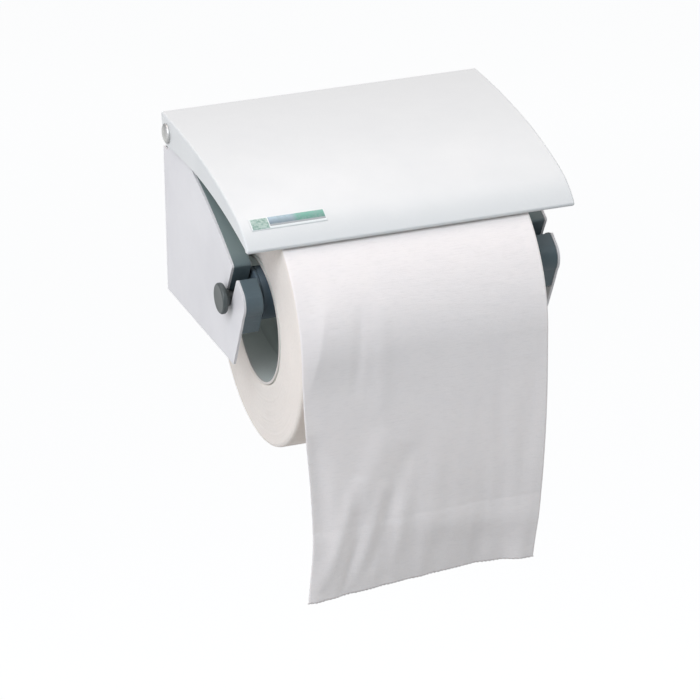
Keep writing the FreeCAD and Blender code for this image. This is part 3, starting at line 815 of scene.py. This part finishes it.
def label_film(name):
    """Blank film label: mottled panel at the left, a bar from blue-grey to green, a rule below."""
    made, tree, shader = start_material(name, Roughness=LABEL_ROUGHNESS, Coat_Weight=LABEL_COAT)
    point = object_point(tree)
    flat = split(tree, node(tree, "ShaderNodeTexCoord").outputs["UV"])
    across, up = flat["X"], flat["Y"]

    def band(value, start, end):
        after = calculate(tree, "GREATER_THAN", value, start)
        before = calculate(tree, "LESS_THAN", value, end)
        return calculate(tree, "MULTIPLY", after, before)

    def field(shares):
        return calculate(tree, "MULTIPLY", band(across, *shares[0]), band(up, *shares[1]))

    blot = grain(tree, point, *LABEL_BLOT)
    paper = tint(tree, grain(tree, point, *LABEL_INK), LABEL_PAPER, LABEL_PAPER_SHADE)
    mottle = spread(tree, blot, 0.0, 1.0, LABEL_BLOT_SPAN)
    panel_colour = tint(tree, mottle, LABEL_PANEL_DARK, LABEL_PANEL_PALE)
    to_green = spread(tree, across, 0.0, 1.0, LABEL_TURN_SHARES)
    low_bar = tint(tree, to_green, LABEL_LOW_BLUE, LABEL_LOW_GREEN)
    high_bar = tint(tree, to_green, LABEL_HIGH_BLUE, LABEL_HIGH_GREEN)
    lighter = spread(tree, up, 0.0, 1.0, LABEL_LIGHTER_SHARES)
    blots = spread(tree, blot, 0.0, LABEL_BLOT_SHARE, LABEL_BLOT_SPAN)
    bar_colour = tint(tree, blots, tint(tree, lighter, low_bar, high_bar), LABEL_BLOT_COLOUR)
    printed = tint(tree, field(LABEL_PANEL_SHARES), paper, panel_colour)
    printed = tint(tree, field(LABEL_BAR_SHARES), printed, bar_colour)
    printed = tint(tree, field(LABEL_RULE_SHARES), printed, LABEL_RULE_COLOUR)
    join(tree, printed, shader.inputs["Base Color"])
    raise_surface(tree, shader, (grain(tree, point, *LABEL_WAVE), LABEL_WAVE_BUMP))
    return made


def pale_floor(name):
    """Pale floor that glows softly from a little way off, most of all behind the holder."""
    made, tree, shader = start_material(
        name, Roughness=FLOOR_ROUGHNESS, Specular_IOR_Level=FLOOR_SPECULAR,
        Emission_Color=(*GLOW_COLOUR, 1),
    )
    point = object_point(tree)
    cloud = grain(tree, point, *FLOOR_CLOUD)
    join(tree, tint(tree, cloud, FLOOR_PALE, FLOOR_SHADE), shader.inputs["Base Color"])
    spot = split(tree, point)
    squares = [calculate(tree, "POWER", spot[axis], 2.0) for axis in ("X", "Y")]
    distance = calculate(tree, "SQRT", calculate(tree, "ADD", *squares))
    way_back = calculate(tree, "DIVIDE", spot["Y"], distance)
    behind = spread(tree, way_back, GLOW_FRONT, GLOW_BEHIND, GLOW_TURN_SHARES)
    far = spread(tree, distance, 0.0, 1.0, (GLOW_START, GLOW_FULL))
    lift = spread(tree, distance, 1.0, GLOW_FAR_LIFT, (GLOW_FULL, GLOW_FAR))
    lit = calculate(tree, "MULTIPLY", calculate(tree, "MULTIPLY", behind, far), lift)
    glow = calculate(tree, "MAXIMUM", lit, GLOW_NEAR)
    join(tree, glow, shader.inputs["Emission Strength"])
    return made


# What makes each slot's finish, and what that function takes after the name
FINISH_MAKERS = {
    "bracket_paint": (powder_coat, BRACKET_LIT_WHITE, BRACKET_LIT_SMUDGE),
    "cover_paint": (powder_coat, COVER_SHADED_WHITE, COVER_SHADED_SMUDGE),
    "dark_plastic": (moulded_plastic, LINER_SLATE, LINER_SCUFF, LINER_ROUGHNESS, LINER_PAINTED_LIGHT),
    "spindle_plastic": (moulded_plastic, SPINDLE_SLATE, SPINDLE_SCUFF, SPINDLE_ROUGHNESS),
    "knob_plastic": (moulded_plastic, KNOB_GREY, KNOB_SCUFF, KNOB_ROUGHNESS),
    "foam_tape": (closed_foam,),
    "label_film": (label_film,),
    "rivet_steel": (plated_steel, RIVET_ZINC, RIVET_ROUGHNESS),
    "washer_nylon": (nylon,),
    "rod_steel": (plated_steel, ROD_BLACK, ROD_ROUGHNESS, ROD_STRETCH),
    "core_board": (core_board,),
    "tissue": (
        tissue_paper, object_point, ROLL_TISSUE_SHADED_COPY, ROLL_TISSUE_SHADED_COPY_CLOUD, ROLL_CREPE_STRETCH
    ),
    "tissue_sheet": (
        tissue_paper, sheet_point, SHEET_TISSUE_LIT_COPY, SHEET_TISSUE_LIT_COPY_CLOUD, SHEET_CREPE_STRETCH
    ),
}
finishes = {slot: maker(slot, *settings) for slot, (maker, *settings) in FINISH_MAKERS.items()}


# Sheet metal and moulded pieces
def make_from_cad(cad_node, name, body, slot, edge):
    """The CAD piece with rounded edges and even shading."""
    piece = smooth_faces(soften(cad_copy(cad_node, name), edge))
    return finish_piece(piece, body, slot, cad_node)


def make_label():
    """The blank label, with a flat UV map for its plain bands."""
    label = cad_copy("blank_label", "cover_label")
    low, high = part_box("blank_label")
    chord = Vector((0, low.y - high.y, low.z - high.z))
    uv = label.data.uv_layers.new(name="label")
    for loop in label.data.loops:
        point = label.data.vertices[loop.vertex_index].co
        from_back = Vector((0, point.y - high.y, point.z - high.z))
        across = (point.x - low.x) / (high.x - low.x)
        uv.data[loop.index].uv = (across, 1 - from_back.dot(chord) / chord.length_squared)
    return finish_piece(smooth_faces(label), "cover_flap", "label_film", "blank_label")


# Turned pieces that come in pairs
def round_corner(along, radius, size, start_angle):
    """Points of a quarter round about a centre, turning clockwise, in a turned profile."""
    points = []
    for step in range(CORNER_STEPS + 1):
        angle = start_angle - math.pi / 2 * step / CORNER_STEPS
        points.append((along + size * math.cos(angle), radius + size * math.sin(angle)))
    return points


def make_pair(tree, name, profile, right_node, left_node, body, slot):
    """Puts one turned piece, drawn on its right-hand place, at both ends of its axis."""
    low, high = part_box(right_node)
    axis = (low + high) / 2
    piece = new_object(name, turned(name, profile, TURNED_SIDES))
    run_tree(piece, tree, Axis_place=(0.0, axis.y, axis.z), Finish=finishes[slot])
    soft = smooth_faces(soften(piece, TURNED_EDGE))
    return finish_piece(soft, body, slot, right_node, left_node)


def make_rivets(tree):
    """Hinge rivets: formed tail inside the cheek, shank, and a domed head outside the flange."""
    low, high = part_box("hinge_rivet_right")
    radius = (high.z - low.z) / 2
    head_from = high.x - RIVET_HEAD_HEIGHT
    tail_to = low.x + RIVET_TAIL_HEIGHT
    profile = [
        (low.x, 0.0), (low.x, RIVET_TAIL_RADIUS), (tail_to, RIVET_TAIL_RADIUS),
        (tail_to, RIVET_SHANK_RADIUS), (head_from, RIVET_SHANK_RADIUS), (head_from, radius),
    ]
    dome = RIVET_HEAD_HEIGHT - RIVET_RIM
    for step in range(RIVET_DOME_STEPS + 1):
        angle = math.pi / 2 * step / RIVET_DOME_STEPS
        along = head_from + RIVET_RIM + dome * math.sin(angle)
        profile.append((along, radius * math.cos(angle)))
    return make_pair(
        tree, "hinge_rivets", profile, "hinge_rivet_right", "hinge_rivet_left", "holder",
        "rivet_steel",
    )


def make_knobs(tree):
    """Spindle knobs: a short collar, and a flat disc with a soft rim and a faint dish."""
    low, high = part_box("knob_right")
    radius = (high.z - low.z) / 2
    disc_from = high.x - KNOB_DISC
    dish_at = high.x - KNOB_DISH
    profile = [(low.x, 0.0), (low.x, KNOB_COLLAR_RADIUS), (disc_from, KNOB_COLLAR_RADIUS)]
    profile += round_corner(disc_from + KNOB_RIM, radius - KNOB_RIM, KNOB_RIM, math.pi)
    profile += round_corner(high.x - KNOB_RIM, radius - KNOB_RIM, KNOB_RIM, math.pi / 2)
    profile += [(dish_at, radius * KNOB_DISH_SHARE), (dish_at, 0.0)]
    return make_pair(
        tree, "spindle_knobs", profile, "knob_right", "knob_left", "spindle", "knob_plastic"
    )


# Paper
def sheet_shape():
    """Axis, middle radius, sides, drop, width and length of the sheet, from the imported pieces."""
    low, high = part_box("paper_roll")
    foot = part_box("paper_tail")[0].z
    axis = (low + high) / 2
    radius = (high.z - low.z) / 2 + SHEET_GAP + SHEET_THICKNESS / 2
    drop = axis.z - foot
    return SimpleNamespace(
        axis=axis, radius=radius, left=low.x, right=high.x, drop=drop, width=high.x - low.x,
        length=radius * SHEET_START + drop,
    )


def margin_height(across, above_foot):
    """The left margin stands off the roll along a crease, and leans back to the edge."""
    share = (above_foot - MARGIN_LOW) / (MARGIN_HIGH - MARGIN_LOW)
    if not 0.0 < share < 1.0:
        return 0.0
    lift = MARGIN_LIFT * math.sin(math.pi * share) ** 2
    crease_at = MARGIN_ACROSS_LOW + MARGIN_RUN * share
    if across < crease_at:
        return lift * across / crease_at
    return lift * math.exp(-(across - crease_at) / MARGIN_FADE)


def crease_height(across, above_foot):
    """Height of the soft creases at a place on the flat sheet."""
    total = 0.0
    here = Vector((across / MM, above_foot / MM))
    for start_x, start_y, end_x, end_y, half_width, height in SHEET_CREASES:
        start = Vector((start_x, start_y))
        run = Vector((end_x, end_y)) - start
        share = (here - start).dot(run) / run.length_squared
        nearest = start + run * min(max(share, 0.0), 1.0)
        fade = math.exp(-((here - nearest).length / half_width) ** 2)
        taper = 1.0 - min(abs(2.0 * share - 1.0), 1.0) ** CREASE_TAPER_POWER
        total += height * fade * taper
    return total * MM


def lumps(across, down, height, size_across, size_down, seed):
    """Height of soft random lumps at a place on the flat sheet."""
    return height * noise.noise(Vector((across / size_across, down / size_down, seed)))


def sheet_middle(across_share, down, shape):
    """A point of the sheet's middle surface."""
    wrap = shape.radius * SHEET_START
    if down < wrap:
        angle = SHEET_START - down / shape.radius
        outward = Vector((0, -math.cos(angle), math.sin(angle)))
        base = Vector((0, shape.axis.y, shape.axis.z)) + outward * shape.radius
    else:
        outward = Vector((0, -1, 0))
        base = Vector((0, shape.axis.y - shape.radius, shape.axis.z - (down - wrap)))
    level = min(max((down - wrap) / shape.drop, 0.0), 1.0)
    left_edge = shape.left + LEFT_DRAW * smooth_table(LEFT_DRAW_SHARES, level)
    right_edge = shape.right - RIGHT_DRAW * smooth_table(RIGHT_DRAW_SHARES, level)
    base.x = left_edge + (right_edge - left_edge) * across_share
    across = shape.width * across_share
    above_foot = shape.length - down
    height = -SWING_BACK * smooth_table(SWING_SHARES, across_share) * level ** SWING_POWER
    height += crease_height(across, above_foot) + margin_height(across, above_foot)
    groove = (above_foot - PERFORATION_ABOVE_FOOT) / PERFORATION_WIDTH
    height -= PERFORATION_DEPTH * math.exp(-groove * groove)
    height += lumps(across, down, *RIPPLE_LUMPS) + lumps(across, down, *STREAK_LUMPS) * level
    return base + outward * height


def make_sheet(shape):
    """The hanging end: over the front of the roll, then down with soft folds, closed."""
    columns = SHEET_ACROSS_STEPS + 1
    points = []
    flat = []
    for row in range(SHEET_DOWN_STEPS + 1):
        down = shape.length * row / SHEET_DOWN_STEPS
        for column in range(columns):
            share = column / SHEET_ACROSS_STEPS
            points.append(sheet_middle(share, down, shape))
            flat.append((shape.width * share, shape.length - down))
    faces = []
    for row in range(SHEET_DOWN_STEPS):
        for column in range(SHEET_ACROSS_STEPS):
            low = row * columns + column
            faces.append((low, low + columns, low + columns + 1, low + 1))
    mesh = mesh_from("tissue_sheet", points, [], faces)
    uv = mesh.uv_layers.new(name="flat_sheet")
    for loop in mesh.loops:
        uv.data[loop.index].uv = flat[loop.vertex_index]
    sheet = new_object("tissue_sheet", mesh)
    wall = sheet.modifiers.new("paper thickness", "SOLIDIFY")
    wall.thickness = SHEET_THICKNESS
    wall.offset = 0.0
    wall.use_even_offset = False
    baked(sheet)
    sheet.data.shade_smooth()
    return finish_piece(sheet, "holder", "tissue_sheet", "paper_tail")


def make_torn_teeth(shape):
    """The row of torn paper bits along the sheet's foot."""
    points = [
        sheet_middle(step / SHEET_ACROSS_STEPS, shape.length, shape)
        for step in range(SHEET_ACROSS_STEPS + 1)
    ]
    edges = [(step, step + 1) for step in range(SHEET_ACROSS_STEPS)]
    teeth = new_object("torn_teeth", mesh_from("torn_teeth", points, edges, []))
    run_tree(teeth, torn_edge_tree(), Finish=finishes["tissue_sheet"])
    return finish_piece(teeth, "holder", "tissue_sheet")


def make_roll():
    """The wound tissue round its core."""
    low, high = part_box("paper_roll")
    core_low, core_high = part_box("cardboard_core")
    roll = new_object("tissue_roll", bpy.data.meshes.new("tissue_roll"))
    run_tree(
        roll, wound_roll_tree(), Core_radius=(core_high.z - core_low.z) / 2,
        Roll_radius=(high.z - low.z) / 2, Width=high.x - low.x, Axis_place=(low + high) / 2,
        Finish=finishes["tissue"],
    )
    roll.data.shade_smooth()
    return finish_piece(roll, "roll", "tissue", "paper_roll")


# Camera, floor and light
def make_camera():
    back = Vector((
        -math.sin(CAMERA_AZIMUTH) * math.cos(CAMERA_ELEVATION),
        -math.cos(CAMERA_AZIMUTH) * math.cos(CAMERA_ELEVATION),
        math.sin(CAMERA_ELEVATION),
    ))
    level_right = (-back).cross(Vector((0, 0, 1))).normalized()
    level_up = level_right.cross(-back)
    right = level_right * math.cos(CAMERA_ROLL) + level_up * math.sin(CAMERA_ROLL)
    up = level_up * math.cos(CAMERA_ROLL) - level_right * math.sin(CAMERA_ROLL)
    data = bpy.data.cameras.new("photo_camera")
    data.sensor_fit = "HORIZONTAL"
    data.sensor_width = CAMERA_SENSOR_MM
    data.lens = CAMERA_LENS_MM
    data.clip_end = CAMERA_REACH
    camera = new_object("photo_camera", data)
    turn = Matrix((right, up, back)).transposed().to_4x4()
    camera.matrix_world = Matrix.Translation(CAMERA_PLACE) @ turn
    bpy.context.scene.camera = camera


def make_floor():
    height = cad_box[0][2] - FLOOR_DROP
    corners = [(-1, -1), (1, -1), (1, 1), (-1, 1)]
    points = [(x * FLOOR_HALF, y * FLOOR_HALF, height) for x, y in corners]
    floor = new_object("floor", mesh_from("floor", points, [], [(0, 1, 2, 3)]))
    floor.data.materials.append(pale_floor("pale_floor"))


def soft_box(name, place, width, depth, watts, colour):
    data = bpy.data.lights.new(name, "AREA")
    data.shape = "RECTANGLE"
    data.size = width
    data.size_y = depth
    data.energy = watts
    data.color = colour
    lamp = new_object(name, data)
    lamp.location = place
    lamp.rotation_euler = (Vector(BOX_AIM) - Vector(place)).to_track_quat("-Z", "Y").to_euler()


def make_light():
    world = bpy.data.worlds.new("studio")
    world.use_nodes = True
    sky = world.node_tree.nodes["Background"]
    sky.inputs["Color"].default_value = (*SKY_COLOUR, 1)
    sky.inputs["Strength"].default_value = SKY_STRENGTH
    bpy.context.scene.world = world
    for box in SOFT_BOXES:
        soft_box(*box)
    settings = bpy.context.scene.view_settings
    settings.view_transform = "Standard"
    settings.look = "None"


# Put the holder together
make_from_cad("wall_bracket", "bracket_shell", "holder", "bracket_paint", PAINT_EDGE)
make_from_cad("cover", "cover_shell", "cover_flap", "cover_paint", PAINT_EDGE)
make_label()
for side in ("left", "right"):
    make_from_cad("side_liner_" + side, "liner_" + side, "holder", "dark_plastic", LINER_EDGE)
    make_from_cad("tube_cap_" + side, "cap_" + side, "spindle", "spindle_plastic", MOULDED_EDGE)
make_from_cad("spindle_tube", "roll_tube", "spindle", "spindle_plastic", MOULDED_EDGE)
pair = pair_tree()
make_rivets(pair)
make_knobs(pair)

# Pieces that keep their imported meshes
slots = {part["node"]: part["material_slot"] for part in frame["record"]["subparts"]}
for plain_node in ("liner_pad_left", "liner_pad_right", "hinge_washer_left",
                   "hinge_washer_right", "spindle_rod", "cardboard_core"):
    for place in frame["nodes"][plain_node].material_slots:
        place.material = finishes[slots[plain_node]]

make_roll()
tissue_shape = sheet_shape()
tissue = make_sheet(tissue_shape)
torn_teeth = make_torn_teeth(tissue_shape)
make_camera()
make_floor()
make_light()
